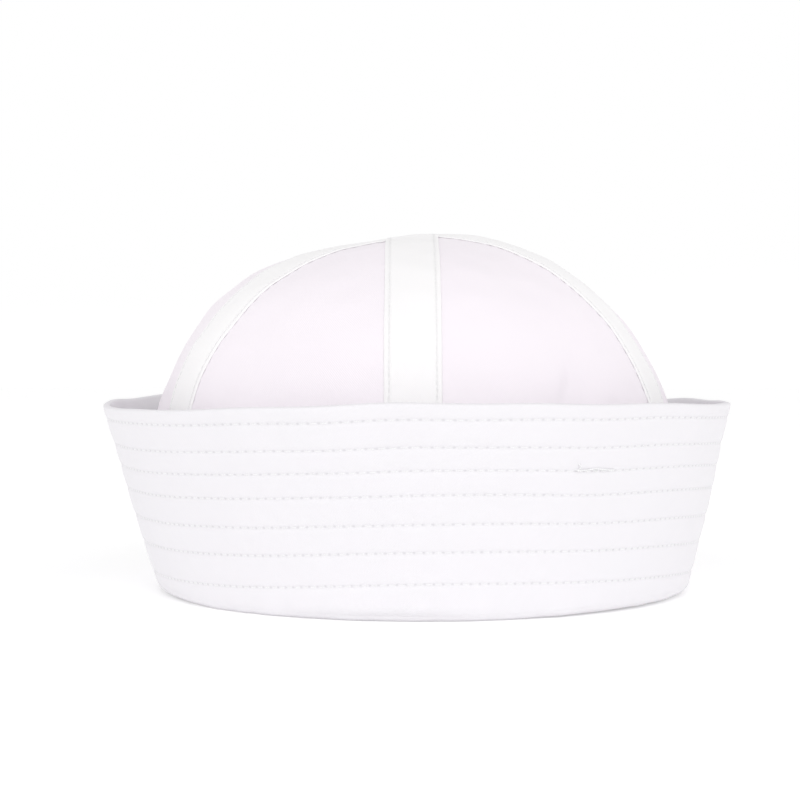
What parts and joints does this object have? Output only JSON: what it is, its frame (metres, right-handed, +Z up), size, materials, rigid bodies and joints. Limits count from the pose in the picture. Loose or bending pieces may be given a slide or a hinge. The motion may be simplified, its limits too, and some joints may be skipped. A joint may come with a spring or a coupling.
{
  "type": "sailor cap",
  "caption": "White cotton sailor cap with a domed gored crown, taped seams and a quilted brim turned up all round.",
  "frame": {"origin": "on the surface that the cap stands on, below the middle of the brim's rim", "axes": "+Z up towards the top of the crown; the front of the cap faces -Y; +X is the right-hand side seen from the front"},
  "size_m": [0.232, 0.2702, 0.132],
  "materials": {
    "quilted_cotton": "matt white cotton in several layers",
    "single_cotton": "matt white cotton, single layer",
    "cotton_tape": "matt white cotton tape"
  },
  "bodies": {
    "root": {"brim": "quilted_cotton", "crown_gore_front_left": "single_cotton", "crown_gore_front_right": "single_cotton", "crown_gore_side_left": "single_cotton", "crown_gore_side_right": "single_cotton", "crown_gore_back_left": "single_cotton", "crown_gore_back_right": "single_cotton", "crown_strip_front_back": "cotton_tape", "crown_strip_front_left": "cotton_tape", "crown_strip_front_right": "cotton_tape", "crown_strip_back_left": "cotton_tape", "crown_strip_back_right": "cotton_tape"}
  },
  "joints": []
}
